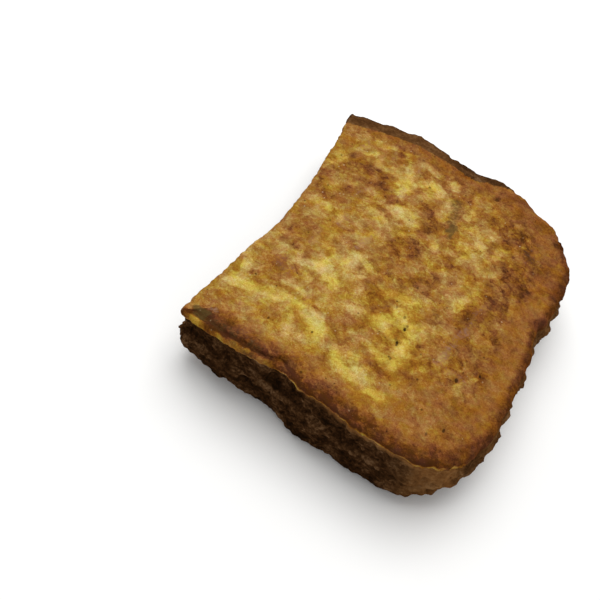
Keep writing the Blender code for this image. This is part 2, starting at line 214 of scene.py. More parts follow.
DARK_STROKES = (
    (1.00, 1.3, (-23, 44), (-22.5, 42)), (0.70, 1.0, (-16, 45)), (0.70, 1.1, (-22, 39), (-20, 38.8)),
    (0.70, 1.1, (-12, 39), (-11, 37.5)), (0.50, 0.9, (-9, 40), (-6, 39.5)),
    (0.50, 1.4, (-36, 34), (-35, 30)), (0.60, 1.9, (-31, 32), (-27.5, 29.5)),
    (0.60, 1.1, (-25, 31.5), (-23, 30)), (0.60, 1.5, (-23, 27), (-20, 24.5), (-17.5, 23), (-15, 21.5)),
    (0.60, 1.1, (-29, 24.5), (-24, 24.5)), (0.45, 1.2, (-38.5, 23), (-39.5, 18), (-38, 13)),
    (0.60, 0.9, (-36.5, 12), (-32.5, 12)), (0.70, 1.2, (-31.5, 17), (-29, 17.2)),
    (0.40, 1.1, (-26, 14), (-22, 12)), (0.45, 0.8, (-18.5, 17), (-16, 16)), (0.60, 1.0, (-14, 14.5)),
    (0.50, 0.8, (-10, 14.5)), (0.75, 1.6, (-6, 25), (-2, 22.5), (2, 21)),
    (0.70, 1.4, (-3.5, 17.5), (0, 18.5)), (0.90, 2.2, (-3, 8), (-1.5, 6.5)),
    (0.50, 1.1, (-6, 8.5), (-4, 9)), (0.50, 1.3, (-8, 6), (-5, 2)), (0.50, 1.1, (-25, 1.5), (-22, 1)),
    (0.50, 1.2, (-36, -4.5), (-35, -7.5)), (0.50, 1.0, (-31.5, -4)), (0.60, 1.0, (-19, -1), (-18, -3)),
    (0.50, 1.0, (-22.5, -4)), (0.55, 0.8, (-12.5, -8.2), (-12.3, -9)),
    (0.50, 1.4, (-4.5, -5.5), (-5, -10), (-5.5, -15)), (0.70, 0.8, (-38, -11.5), (-35, -13), (-30.5, -13)),
    (0.60, 2.4, (-32, -21.5), (-29, -22.5)), (0.80, 2.2, (40.5, 25), (40.5, 19)),
    (0.50, 0.9, (-39.5, -16.5), (-37.5, -18)), (0.50, 0.9, (-24, -23), (-20.5, -23.5)),
    (0.70, 1.0, (-36, -29), (-31.5, -31.5)), (0.50, 0.8, (-30, -27.5), (-22, -29), (-15, -30)),
    (0.60, 1.2, (-25, -37.5), (-22.5, -37.5)), (0.35, 2.0, (-3, -15), (-3, -20)),
    (0.60, 1.7, (-2, -26), (-6, -29.5), (-9.5, -31.5)), (0.50, 1.4, (-8, -32.5), (-4, -34.5)),
    (0.65, 0.8, (-5.5, -40.5), (-5, -42.5)), (0.60, 1.3, (4.5, 44), (4.5, 40), (4.5, 37), (3, 34)),
    (1.00, 1.1, (12.5, 44)), (0.75, 1.2, (15, 34.5), (16.5, 33)), (0.60, 1.4, (18, 31.5), (20.5, 29.5)),
    (1.00, 1.3, (21, 28.5), (22.5, 26.5)), (0.80, 1.1, (25, 35), (25.5, 33)),
    (0.80, 1.2, (29, 37), (30.5, 35.5)), (0.60, 1.6, (28.5, 33), (29, 30), (30.5, 27.5)),
    (0.50, 1.7, (20, 42), (24, 43), (28, 42.5)), (0.70, 1.1, (18.5, 25), (18.5, 21.5)),
    (0.50, 0.9, (10.5, 21.5)), (0.60, 1.3, (25.5, 17.5), (26, 14)),
    (0.65, 2.2, (34.5, 21), (33.5, 17), (34, 13)), (0.90, 1.1, (28.5, 9)), (0.80, 1.2, (34.5, 9)),
    (0.55, 1.1, (7.5, 8.5), (13, 9)), (0.50, 1.3, (25, 3.5), (27, 1.5)), (0.90, 1.1, (7.5, 1), (8, -1.5)),
    (0.50, 1.0, (36.5, 30.5), (37, 25)), (0.60, 1.5, (3.5, -3.5), (6, -1.5)),
    (0.70, 1.0, (8.5, -5.5), (8, -7)), (0.50, 0.9, (5, -8)), (0.80, 0.8, (14.3, -10.5)),
    (0.50, 0.9, (16.5, -12.5)), (0.80, 1.0, (7.5, -22), (8.8, -23.5)),
    (0.60, 1.6, (14.5, -23.5), (15.5, -26.5)), (0.50, 1.2, (5, -27), (7, -29)),
    (0.50, 1.2, (15, -31), (19.5, -27.5)), (0.60, 1.1, (16, -34), (18, -35.5)),
    (0.60, 1.3, (7, -36.5), (11, -38)), (1.00, 1.0, (27.5, -28)), (0.80, 1.1, (33.5, -22.5)),
    (0.60, 1.0, (21.3, -5), (22, -9)), (0.25, 1.0, (33, -8.5)), (0.35, 1.2, (33.5, -13), (34, -16.5)),
    (0.50, 1.1, (2, -14.5), (1, -18)), (0.45, 1.2, (0, -33), (3.5, -34.5)), (0.60, 0.9, (31.5, -43.8)),
    (0.50, 0.9, (27.5, -47.5)),
)
# Grey-green stains, pinkish-grey painted sheen of the oil, and where the egg set clear yellow, as strokes
# too.
STAINS = (
    (0.72, 1.5, (2.2, 34), (3.2, 30), (4.0, 25)), (1.10, 1.3, (5.0, 24), (5.6, 20)),
    (0.70, 1.0, (5.8, 20), (5.6, 17.5)), (0.60, 0.8, (9.4, -21), (9.2, -19.5)),
    (0.60, 0.8, (9.2, -25.5), (9.0, -27)), (1.00, 1.6, (-42.5, -48.3), (-39.5, -49.3)),
    (0.50, 1.2, (-37, -49.4), (-30, -50.2)), (0.50, 1.3, (-24, -50), (-22, -50.5)),
    (0.35, 1.2, (29, -30), (30, -34), (31, -37)), (0.5, 0.9, (14, -10), (14.4, -11)),
)
# The painted sheen: strokes where a pinkish-grey highlight of the oil is painted into the colour.
PAINTED_SHEENS = (
    (0.50, 0.9, (24.8, 0), (24.0, -10)), (0.60, 1.1, (23.8, -10), (22.6, -20), (21.8, -26)),
    (0.52, 1.0, (-23.8, 42), (-24.2, 38)), (0.56, 0.9, (-34.6, 41), (-35, 37)),
    (0.56, 0.9, (-13.8, 42), (-14.2, 38.5)), (0.60, 1.0, (-14.3, 28), (-15, 25)),
    (0.60, 1.0, (-24.8, 23), (-26.2, 20)), (0.49, 1.0, (-26.5, 18), (-27, 15)),
    (0.60, 1.0, (-24.4, 7), (-25.2, 3)), (0.64, 1.0, (-14.2, 6), (-15.6, 0), (-16, -3)),
    (0.52, 1.2, (-28, -5), (-28.5, -9)), (0.50, 2.6, (-33, -20), (-29, -22)),
    (0.45, 1.3, (-34, -14.5), (-31, -15.5)), (0.56, 1.1, (-8, -17), (-8.2, -21)),
    (0.49, 0.9, (-18.8, -27), (-18.4, -30)), (0.38, 1.1, (2, -17), (0.5, -19)),
    (0.45, 1.2, (-33.5, -40), (-31.5, -41)), (0.52, 1.2, (25, -26.5), (30, -27)),
    (0.41, 2.0, (30.5, 31), (30, 26)), (0.68, 0.8, (-39.8, -46.3), (-38.5, -46)),
    (0.34, 1.4, (-25, -45), (-12, -46.5)), (0.34, 1.6, (36, -30), (39, -36)),
    (0.38, 1.2, (-30, -48), (-20, -49)),
)
YOLK = ((1.00, 7, (3, -13), (5, -22), (11, -30)), (0.70, 4, (-2, -42), (12, -44)),
        (0.45, 6, (-38, -33), (-12, -35)))
STROKE_EDGE = (0.70, 1.55)  # a stroke fades out between these shares of half its width
BROWNING_WANDER = ((0.0015, 0.0060, 21.0), (0.0010, 0.0024, 22.0))
STAIN_WANDER = ((0.0014, 0.0030, 23.0), (0.0007, 0.0012, 24.0))
UNDER_WANDER = ((0.0040, 0.010, 81.0), (0.0015, 0.003, 82.0))
SEED_STEP = 40.0  # from the noise along X to the noise along Y

# How brown the face is, from 0, pale egg, to 1, almost burnt. Widths are in MM.
PLAIN_TOAST = 0.47
CROWN_TOAST, CROWN_TOAST_FADE = 0.05, (10.0, 30.0)
BROWNING = ((BROAD_DARK, 0.17), (BROAD_PALE, -0.18), (PALE_STROKES, -0.25), (DARK_STROKES, 0.24))
NEARLY_BURNT, BEYOND_BURNT = 0.74, 0.4  # beyond the first, only this share of the browning shows
BACK_BORDER, BACK_TOAST, BACK_HOLD = (8.0, 12.5), 0.68, 0.80
FRONT_BORDER, FRONT_TOAST, FRONT_HOLD = (4.8, 7.8), 1.07, 0.95
FRONT_PALING, PALING_END = 0.080, 6.0  # for each MM in from the edge, and where that ends
BASE_WIDENING, BASE_WIDENING_FADE = 2.2, (-28.0, -14.0)
STRIP_START, STRIP_END, STRIP_TOAST, STRIP_HOLD = (3.0, 4.5), (8.0, 10.0), 0.60, 0.70
RIM_BORDER, RIM_TOAST = (1.6, 4.2), 0.88

# Where the dark crust along the back begins, in MM from the slice's middle: places along X and Y.
BACK_BAND = ((-44, 46.0), (-38, 47.0), (-30, 48.5), (-20, 49.6), (-10, 49.4), (-5, 48.2), (0, 46.7),
             (3, 46.4), (7, 48.2), (12, 49.8), (18, 51.0))
BACK_BAND_END, BACK_BAND_FADE = (12.0, 20.0), (-0.9, 1.7)  # along X, and across
# The groove's painted shade and the lip's bare egg: where both end along X, and their widths, in MM.
LIP_EGG_END, GROOVE_SHADE, LIP_EGG_WIDTH = (-22.0, -8.0), 2.2, 0.9
LIP_EGG_TOAST, WALL_EGG_TOAST = 0.64, 0.44
EGG_WAVE = (0.40, 0.0032, 74.0)
# How far below the face the egg ends on the front wall, and how ragged its hem is.
WALL_EGG_HEM = (0.0010, 0.0019)
RAGGED_HEM = ((0.0006, 0.0024, 91.0), (0.0005, 0.006, 92.0))
HANGING_HEM = (0.0005, 0.0012, 93.0)
UNDER_TOAST = 0.58
UNDER_MOTTLE = ((0.34, 0.014, 83.0), (0.22, 0.006, 84.0))

# What is stored at each point of the slice for its material. The groove look carries painted shade, and the
# ridge look a painted highlight.
LOOKS = ("toast", "calm", "crust", "tan", "groove", "stain", "sheen", "yolk", "ridge")

# Tones of the browned egg, from pale to almost burnt, as shares of full light, and how brown each is.
EGG_TONES = ((0.00, (0.600, 0.460, 0.200)), (0.14, (0.498, 0.342, 0.130)), (0.28, (0.405, 0.241, 0.079)),
             (0.41, (0.332, 0.169, 0.050)), (0.54, (0.274, 0.118, 0.033)), (0.67, (0.215, 0.081, 0.025)),
             (0.80, (0.150, 0.050, 0.019)), (1.00, (0.070, 0.023, 0.011)))
# Tones of the walls' bark and of the tan ears, from dark to light.
BARK_TONES = ((0.00, (0.010, 0.005, 0.0020)), (0.35, (0.030, 0.012, 0.0045)), (0.60, (0.058, 0.025, 0.0090)),
              (0.85, (0.102, 0.050, 0.0210)), (1.00, (0.150, 0.080, 0.0380)))
EAR_TONES = ((0.00, (0.095, 0.036, 0.012)), (0.40, (0.165, 0.067, 0.020)), (0.65, (0.215, 0.094, 0.029)),
             (1.00, (0.270, 0.135, 0.048)))
YELLOWER = (0.935, 1.035, 1.00, 1.0)
REDDER = (1.06, 0.975, 1.00, 1.0)
CLEARER = (1.00, 1.00, 0.38, 1.0)
STAIN_COLOUR = (0.086, 0.058, 0.018, 1.0)
# The colour of the painted sheen. The bread itself has no specular reflection.
PAINTED_SHEEN_COLOUR = (0.395, 0.235, 0.150, 1.0)
# The colour of the painted glints: pale specks painted in as tiny highlights.
PAINTED_GLINT_COLOUR = (0.560, 0.400, 0.230, 1.0)
# The painted shade along the groove inside the lip.
PAINTED_GROOVE_SHADE = (0.050, 0.016, 0.005, 1.0)
# The painted shade inside the holes.
PAINTED_HOLE_SHADE = (0.030, 0.014, 0.005, 1.0)

# Feathery noise and flakes in the crust: size in MM, stretch along X, turn, stray and seed.
STRAYED = {"Size": 3.0, "Stretch": 1.0, "Turn": 0.0, "Stray": 0.6, "Seed": 0.0}
FEATHERY = {
    "blotches": (3.6, 1.3, 0.6, 1.6, 3.0), "streaks": (1.8, 1.2, 0.3, 1.2, 9.0),
    "crumbs": (0.80, 1.1, -0.4, 0.8, 14.0), "grit": (0.33, 1.0, 0.0, 0.5, 17.0),
    "rust": (3.0, 1.2, 0.5, 1.4, 23.0), "clear_egg": (4.2, 1.3, -0.3, 1.6, 29.0),
    "rough_bark": (4.0, 1.6, 0.0, 1.6, 31.0), "fine_bark": (0.8, 1.2, 0.0, 1.0, 37.0),
}
FLAKY = {"large_flakes": (3.4, 1.3, 0.6, 1.3, 41.0), "small_flakes": (1.5, 1.2, 0.3, 1.1, 43.0)}
# Painted glints and holes all over the face: size and spacing in MM, and the share of places that have one.
# The glints are tiny painted highlights. The holes are painted dark with the shade inside them.
SPECKS = {"glints": (0.36, 1.5, 0.45), "small_holes": (0.40, 2.6, 0.32), "large_holes": (0.70, 9.0, 0.28)}
# How dark the painted shade in the scattered holes is.
SPECK_DARKNESS = 0.65
# Holes, most of them along the seam, with painted shade: the place along X and Y and half the width in MM,
# and how dark.
SEAM_HOLES = (
    (9.0, -20.9, 0.50, 0.95), (9.1, -26.3, 0.50, 0.95), (9.3, -27.2, 0.42, 0.80), (9.8, -32.2, 0.40, 0.60),
    (9.2, -19.6, 0.45, 0.35), (7.2, -17.3, 0.50, 0.50), (3.8, -15.4, 0.45, 0.40), (28.2, -27.8, 0.60, 0.80),
    (33.4, -22.7, 0.50, 0.75), (31.4, -43.4, 0.45, 0.75), (27.8, -47.0, 0.40, 0.50),
    (-12.2, -37.5, 0.40, 0.75), (-24.7, -40.2, 0.40, 0.60), (12.6, 43.8, 0.70, 0.50),
)
PLAIN_ROUGHNESS, RELIEF_STRENGTH = 0.48, 0.8

FLOOR_COLOUR, FLOOR_ROUGHNESS, FLOOR_GLOSS = (0.93, 0.93, 0.92, 1.0), 0.85, 0.1
FLOOR_HALF = 4.0
SKY_COLOUR, SKY_LIGHT = (1.0, 1.0, 1.0, 1.0), 0.55
LAMP_PLACE, LAMP_SIZE, LAMP_WATTS = (-0.10, 0.22, 0.75), 0.70, 5.2

# The camera, as the photograph's: where it stands, where it looks, and which way its picture's top is.
CAMERA_PLACE = (0.02098, -0.15832, 0.20607)
CAMERA_AIM = (-0.18302, 0.56776, -0.80259)
CAMERA_TOP = (-0.48169, 0.65989, 0.57665)
PICTURE_WIDTH_MM, LENS_MM = 36.0, 48.0
NEAREST_SEEN = 0.01


def soft_step(low, high, value):
    """0 up to low, 1 from high on, and a soft ramp between them, which falls if low is above high."""
    t = np.clip((value - low) / (high - low), 0.0, 1.0)
    return t * t * (3.0 - 2.0 * t)


def hump(middle, width, value):
    """1 at the middle, falling softly to 0 at half the width to either side."""
    return 0.5 + 0.5 * np.cos(math.pi * np.minimum(np.abs(value - middle) / (0.5 * width), 1.0))


def in_space(points):
    """Points as points in space. Those of the plane come to height 0."""
    return points if points.shape[1] == 3 else np.column_stack((points, np.zeros(len(points))))


def ripple(points, size, seed):
    """Soft unevenness between about -1 and 1 at each point, with features of the given size."""
    places = in_space(points) / size + np.array((1.0, 7.3, -3.1)) * seed
    return np.array([noise.noise(Vector(place)) for place in places])


def uneven(points, how_far, size, seed):
    """Soft unevenness at each point, up to about the given reach."""
    return how_far * ripple(points, size, seed)


def smooth_path(points):
    """A closed curve that passes through the points without a kink (Catmull-Rom)."""
    points = np.array(points)
    before, start, end, after = (np.roll(points, -k, axis=0)[:, None] for k in (-1, 0, 1, 2))
    t = (np.arange(PATH_STEPS) / PATH_STEPS)[None, :, None]
    path = 0.5 * (2.0 * start + (end - before) * t + (2.0 * before - 5.0 * start + 4.0 * end - after) * t ** 2
                  + (3.0 * start - before - 3.0 * end + after) * t ** 3)
    return path.reshape(-1, 2)


def spread(line, shares):
    """The points of a line that lie at the given shares of its length."""
    lengths = np.concatenate(((0.0,), np.cumsum(np.linalg.norm(np.diff(line, axis=0), axis=1))))
    wanted = shares * lengths[-1]
    return np.column_stack([np.interp(wanted, lengths, line[:, axis]) for axis in (0, 1)])


def crowded(t):
    """Shares from 0 to 1, moved towards the nearer end."""
    return t - RIM_CROWDING * np.sin(2.0 * math.pi * t) / (2.0 * math.pi)


def lip_share(outward):
    """1 where the edge is a thin egg lip (front and base), 0 where it is a soft shoulder."""
    return soft_step(*LIP_FADE, outward @ np.array(LIP_SIDE))


def front_sway(points, outward):
    """How far the foot of the front wall swings out at each point."""
    sway = sum(how_far * hump(place, width, points[:, 0]) for place, width, how_far in FRONT_SWAY)
    return sway * soft_step(*SWAY_FADE, -outward[:, 1])


def taper(x, base, crown):
    """A height that is 0 along the middle of the slice and grows towards its base and crown."""
    return (base * np.maximum(1.0 - x / BASE_TAPER, 0.0) ** TAPER_POWER
            + crown * np.maximum(1.0 - (LENGTH - x) / CROWN_TAPER, 0.0) ** TAPER_POWER)


class Edge:
    """The slice's edge: a closed curve, its four sides, and how far inside it a point lies."""

    def __init__(self):
        curve = smooth_path(FRONT + CROWN + BACK + BASE)
        self.path = spread(np.vstack((curve, curve[:1])), np.arange(EDGE_POINTS) / EDGE_POINTS)
        outward = self.outwards()
        fray = uneven(self.path, *FRAY) * (1.0 - (1.0 - LIP_FRAY) * lip_share(outward))
        fray += uneven(self.path, *TEETH)
        self.path = self.path + fray[:, None] * outward
        self.outward = self.outwards()
        self.tree = KDTree(EDGE_POINTS)
        for i, point in enumerate(in_space(self.path)):
            self.tree.insert(point, i)
        self.tree.balance()
        ends = [self.tree.find((*corner[0], 0.0))[1] for corner in (CROWN, BACK, BASE)] + [EDGE_POINTS]
        starts = [0] + ends[:-1]
        loop = np.vstack((self.path, self.path[:1]))
        self.sides = [spread(loop[start:end + 1], crowded(np.linspace(0.0, 1.0, count + 1)))
                      for start, end, count in zip(starts, ends, (CELLS_X, CELLS_Y, CELLS_X, CELLS_Y))]

    def outwards(self):
        """The direction straight out of the slice at each point of the path, eased."""
        ahead, behind = np.roll(self.path, -EASING, axis=0), np.roll(self.path, EASING, axis=0)
        out = np.column_stack(((ahead - behind)[:, 1], (behind - ahead)[:, 0]))
        return out / np.linalg.norm(out, axis=1)[:, None]

    def nearest(self, points):
        """The distance from each point to the edge, and the direction straight out there."""
        found = np.array([self.tree.find(point)[1] for point in in_space(points)])
        gaps = []
        for index in (found - 1, found):
            a, b = self.path[index], self.path[(index + 1) % EDGE_POINTS]
            share = ((points - a) * (b - a)).sum(1) / ((b - a) ** 2).sum(1)
            foot = a + np.clip(share, 0.0, 1.0)[:, None] * (b - a)
            gaps.append(np.linalg.norm(points - foot, axis=1))
        return np.minimum(*gaps), self.outward[found]

    def face_grid(self):
        """The corners of a face's cells (a Coons patch of the sides), eased apart at the ears."""
        front, crown, back, base = self.sides
        back, base = back[::-1], base[::-1]
        u = crowded(np.linspace(0.0, 1.0, CELLS_X + 1))[:, None, None]
        v = crowded(np.linspace(0.0, 1.0, CELLS_Y + 1))[None, :, None]
        grid = front[:, None] * (1.0 - v) + back[:, None] * v + base[None] * (1.0 - u) + crown[None] * u
        grid -= (front[0] * (1.0 - u) + front[-1] * u) * (1.0 - v) + (back[0] * (1.0 - u) + back[-1] * u) * v
        for _ in range(RELAXING):
            beside = grid[:-2, 1:-1] + grid[2:, 1:-1] + grid[1:-1, :-2] + grid[1:-1, 2:]
            grid[1:-1, 1:-1] = 0.5 * grid[1:-1, 1:-1] + 0.125 * beside
        return grid


def part_place(points):
    """Places in MM from the slice's middle."""
    return (points[:, :2] - MIDDLE) / MM


def strokes_shown(places, strokes):
    """How strongly brush strokes show at each place."""
    shown = np.zeros(len(places))
    for strength, half_width, *line in strokes:
        away = np.full(len(places), np.inf)
        for start, end in zip(line, line[1:] or line):
            start, run = np.array(start), np.subtract(end, start)
            share = np.clip((places - start) @ run / max(run @ run, 1e-6), 0.0, 1.0)
            away = np.minimum(away, np.hypot(*(places - start - share[:, None] * run).T))
        shown = np.maximum(shown, strength * (1.0 - soft_step(*STROKE_EDGE, away / half_width)))
    return shown


def wandered(points, waves):
    """The points moved about by noise, so that what is laid out on them gets feathery edges."""
    moved = points.copy()
    for how_far, size, seed in waves:
        for axis in (0, 1):
            moved[:, axis] += uneven(points, how_far, size, seed + SEED_STEP * axis)
    return moved


def spots_shown(places, spots):
    """How deep or high round spots are at each place, in MM."""
    shown = np.zeros(len(places))
    for x, y, radius, deep in spots:
        away = np.hypot(*(places - (x, y)).T)
        shown = np.maximum(shown, deep * (1.0 - soft_step(0.0, radius, away)))
    return shown


def scattered_pits():
    """Small pits all over the upper face, few of them large."""
    draw = np.random.default_rng(PIT_SEED)
    return [(*draw.uniform(-PIT_FIELD, PIT_FIELD), PIT_RADIUS[0] + PIT_RADIUS[1] * draw.random() ** 2,
             PIT_DEPTH[0] + PIT_DEPTH[1] * draw.random()) for _ in range(PITS)]


class Face:
    """What is worked out once for each point of the upper face."""

    def __init__(self, points, depth, outward):
        self.points, self.depth = points, depth
        self.lip = lip_share(outward)
        self.crown = soft_step(*CROWN_FADE, outward[:, 0])
        self.back = soft_step(*BORDER_FADE, outward[:, 1])
        self.front = soft_step(*BORDER_FADE, -outward[:, 1])
        self.places = part_place(points)
        self.groove = GROOVE_INSET + uneven(points, *GROOVE_WANDER)
        self.toast = self.toasting()

    def toasting(self):
        """How brown the face is, from 0, pale egg, to 1, almost burnt."""
        strayed = part_place(wandered(self.points, BROWNING_WANDER))
        x, depth = self.places[:, 0], self.depth / MM
        level = PLAIN_TOAST + CROWN_TOAST * soft_step(*CROWN_TOAST_FADE, x)
        for strokes, change in BROWNING:
            level += change * strokes_shown(strayed, strokes)
        level = np.minimum(level, NEARLY_BURNT + BEYOND_BURNT * (level - NEARLY_BURNT))

        broad, fine = ripple(self.points, 0.009, 33.0), ripple(self.points, 0.0022, 34.0)
        coarse = ripple(self.points, 0.006, 31.0)
        back = self.back * (1.0 - soft_step(*BACK_BORDER, depth + 1.6 * coarse + fine))
        # The front's border is darkest at its edge, and wider near the base.
        widening = BASE_WIDENING * (1.0 - soft_step(*BASE_WIDENING_FADE, x))
        from_front = depth + 1.1 * coarse + 0.7 * fine - widening
        front = self.front * (1.0 - soft_step(*FRONT_BORDER, from_front))
        front_toast = FRONT_TOAST - FRONT_PALING * np.clip(from_front, 0.0, PALING_END)
        strip = self.crown * soft_step(*STRIP_START, depth) * (1.0 - soft_step(*STRIP_END, depth))
        rim = self.crown * (1.0 - soft_step(*RIM_BORDER, depth + 1.6 * broad + 0.6 * fine))
        for share, aim in ((BACK_HOLD * back, BACK_TOAST + 0.10 * coarse),
                           (FRONT_HOLD * front, front_toast + 0.10 * fine),
                           (STRIP_HOLD * strip, STRIP_TOAST), (rim, RIM_TOAST + 0.10 * fine)):
            level += share * (aim - level)
        return level

    def height(self):
        """The height of the upper face, as in the solid, with its finer relief."""
        points, depth, lip = self.points, self.depth, self.lip
        width, fall = (lip * thin + (1.0 - lip) * (self.crown * top + (1.0 - self.crown) * back)
                       for thin, top, back in zip(LIP_SHOULDER, CROWN_SHOULDER, BACK_SHOULDER))
        height = THICKNESS - taper(points[:, 0], BASE_DIP, CROWN_DIP)
        for wave in FACE_WAVES:
            height += uneven(points, *wave)
        height += uneven(points / (FIBRE_STRETCH, 1.0), *FIBRE)
        height -= BROWN_RISE * (1.0 - np.clip(self.toast, 0.0, 1.0)) * soft_step(0.0, EVEN_EDGE, depth)
        ridge = self.front * (1.0 - RIDGE_LOSS * soft_step(*RIDGE_FADE, self.places[:, 0]))
        for wave in LIP_WAVES:
            height += uneven(points, *wave) * ridge * (1.0 - soft_step(*LIP_WAVE_END, depth))
        height += ridge * LIP_RISE * hump(LIP_INSET, LIP_WIDTH, depth)
        deepening = 1.0 + ripple(points, 0.009, 41.0)
        height -= ridge * GROOVE_DEPTH * hump(self.groove, GROOVE_WIDTH, depth) * deepening
        height -= MM * spots_shown(self.places, list(NAMED_PITS) + scattered_pits())
        height += MM * spots_shown(self.places, NAMED_LUMPS)
        short = np.maximum(1.0 - depth / width, 0.0)
        return height - fall * (1.0 - np.sqrt(np.maximum(1.0 - short * short, 0.0)))


def crease(rim, share, tall):
    """How strongly the fold along the crust wall shows at a share of the wall's height."""
    line = CREASE_SHARE + uneven(rim, *CREASE_WANDER)
    return hump(0.0, CREASE_WIDTH, (share - line) * tall)


def wall_rows(rim, outward, high):
    """The points of the crust wall, row by row from the foot up to just below the face."""
    low = taper(rim[:, 0], BASE_LIFT, CROWN_LIFT)
    lip, sway = lip_share(outward), front_sway(rim, outward)
    hollow = HOLLOW * lip * (1.0 - FILLING * soft_step(*FILLING_FADE, part_place(rim)[:, 0]))
    rows = []
    for row in range(1, WALL_ROWS):
        if row <= FOOT_ROWS:
            angle = 0.5 * math.pi * row / FOOT_ROWS
            out = np.full(len(rim), -FOOT_INSET * (1.0 - math.sin(angle)))
            height = low + FOOT_HEIGHT * (1.0 - math.cos(angle))
        else:
            out = np.zeros(len(rim))
            climb = (row - FOOT_ROWS) / (WALL_ROWS - FOOT_ROWS)
            height = low + FOOT_HEIGHT + (high - low - FOOT_HEIGHT) * climb
        share = (height - low) / (high - low)
        below = high - height
        swell = np.sin(math.pi * share)
        craggy = np.sqrt(np.maximum(swell, 0.0))
        barky = craggy * (1.0 - lip * (1.0 - soft_step(0.0, LIP_THICK[1], below)))
        place = np.column_stack((rim, height))
        out += WALL_BELLY * swell + sway * (1.0 - share)
        out -= hollow * soft_step(*LIP_THICK, below) * (1.0 - soft_step(*HOLLOW_END, below))
        out += craggy * uneven(place, *CRAG)
        for wave in BARK:
            out += barky * uneven(place, *wave)
        out -= PORE_DEPTH * barky * soft_step(*PORE_EDGE, ripple(place, PORE_SIZE, PORE_SEED))
        out += CREASE_HEIGHT * barky * crease(rim, share, high - low)
        rows.append(np.column_stack((rim + out[:, None] * outward, height)))
    return rows


def underside(top, depth, outward):
    """The points of the underside, drawn in round its foot."""
    inset = (FOOT_INSET - front_sway(top, outward)) * (1.0 - soft_step(0.0, FOOT_REACH, depth))
    height = taper(top[:, 0], BASE_LIFT, CROWN_LIFT)
    for how_far, size, seed in UNDER_RELIEF:
        height += how_far * (1.0 + ripple(top, size, seed)) * soft_step(0.0, EVEN_EDGE, depth)
    return np.column_stack((top - outward * inset[:, None], height))


def loop_of(grid):
    """The corners round a face's rim, anticlockwise from the base and front corner."""
    return np.concatenate((grid[:-1, 0], grid[-1, :-1], grid[:0:-1, -1], grid[0, :0:-1]))


def cells(lower, upper):
    """The four-cornered cells between two rows or columns of corners."""
    return np.stack((lower[..., :-1], lower[..., 1:], upper[..., 1:], upper[..., :-1]), -1).reshape(-1, 4)


def skin(corner, rim_corner):
    """The cells of the upper face, the underside, and the crust wall from the underside up."""
    count, around = corner.size, len(rim_corner)
    face = cells(corner.T[:-1], corner.T[1:])
    rings = [count + rim_corner]
    rings += [2 * count + row * around + np.arange(around) for row in range(WALL_ROWS - 1)]
    rings += [rim_corner]
    rings = np.array([np.append(ring, ring[0]) for ring in rings])
    return np.vstack((face, count + face[:, ::-1], cells(rings[:-1], rings[1:])))


def slice_mesh():
    """The whole slice as one closed skin, and its looks at each point."""
    edge = Edge()
    grid = edge.face_grid()
    rim, top = loop_of(grid), grid.reshape(-1, 2)
    depth, outward = edge.nearest(top)
    face = Face(top, depth, outward)
    top_height = face.height()
    corner = np.arange(len(top)).reshape(grid.shape[:2])
    rim_corner = loop_of(corner)
    wall = rim, outward[rim_corner], top_height[rim_corner]
    rows = wall_rows(*wall)

    points = np.vstack([np.column_stack((top, top_height)), underside(top, depth, outward)] + rows)
    middle = 0.5 * (points.min(0) + points.max(0))
    aim = 0.5 * (cad_box[0] + cad_box[1])
    points += (aim.x - middle[0], aim.y - middle[1], cad_box[0].z - points[:, 2].min())
    mesh = bpy.data.meshes.new("toasted_slice")
    mesh.from_pydata(points.tolist(), [], skin(corner, rim_corner).tolist())
    mesh.shade_smooth()
    # A look that a part of the skin doesn't name is 0 there.
    looks = (face_looks(face), under_looks(top, depth), wall_looks(*wall, rows))
    for name in LOOKS:
        values = np.concatenate([part.get(name, np.zeros(len(part["toast"]))) for part in looks])
        mesh.attributes.new(name, "FLOAT", "POINT").data.foreach_set("value", values.astype(np.float32))
    return mesh


def face_looks(face):
    """The upper face's looks: browning, stains, painted sheen, the groove's painted shade and the crust at
    its edge.
    """
    points, depth = face.points, face.depth / MM
    x, y = face.places.T
    coarse, fine = ripple(points, 0.009, 72.0), ripple(points, 0.0021, 71.0)
    band = np.interp(x, *zip(*BACK_BAND)) + 0.5 * coarse + 0.4 * fine
    crust = (1.0 - soft_step(*BACK_BAND_END, x)) * soft_step(*BACK_BAND_FADE, y - band)
    tan = (0.38 - 0.20 * soft_step(-8.0, -1.0, x)) * soft_step(-0.6, 2.0, depth)
    front = face.front * (1.0 - soft_step(*LIP_EGG_END, x))
    # How strongly shade is painted as a dark line along the groove.
    groove = front * hump(face.groove / MM, GROOVE_SHADE, depth) * (0.75 + 0.9 * ripple(points, 0.006, 73.0))
    # Browning is most even along the borders and in the corner between the front and the crown.
    calm = np.maximum.reduce((
        face.back * (1.0 - soft_step(7.0, 11.0, depth)),
        0.5 * face.front * (1.0 - soft_step(8.0, 13.0, depth)),
        face.crown * (1.0 - soft_step(8.0, 12.0, depth)),
        0.7 * soft_step(6.0, 16.0, x) * soft_step(-28.0, -36.0, y)))
    # Near the base the lip's edge is olive yellow.
    width = LIP_EGG_WIDTH * (1.0 + ripple(points, 0.0045, 75.0))
    lip = front * (1.0 - soft_step(width - 0.4, width + 0.4, depth + 0.3 * fine))
    egg = LIP_EGG_TOAST + uneven(points, *EGG_WAVE)
    strayed = part_place(wandered(points, STAIN_WANDER))
    lip_stain = lip * (0.36 + 0.5 * ripple(points, 0.0028, 76.0))
    return {"toast": face.toast + lip * (egg - face.toast), "calm": calm, "crust": crust, "tan": tan,
            "groove": np.clip(groove, 0.0, 1.0), "sheen": strokes_shown(strayed, PAINTED_SHEENS),
            "stain": np.maximum(strokes_shown(strayed, STAINS), lip_stain),
            "yolk": np.maximum(strokes_shown(strayed, YOLK), lip)}


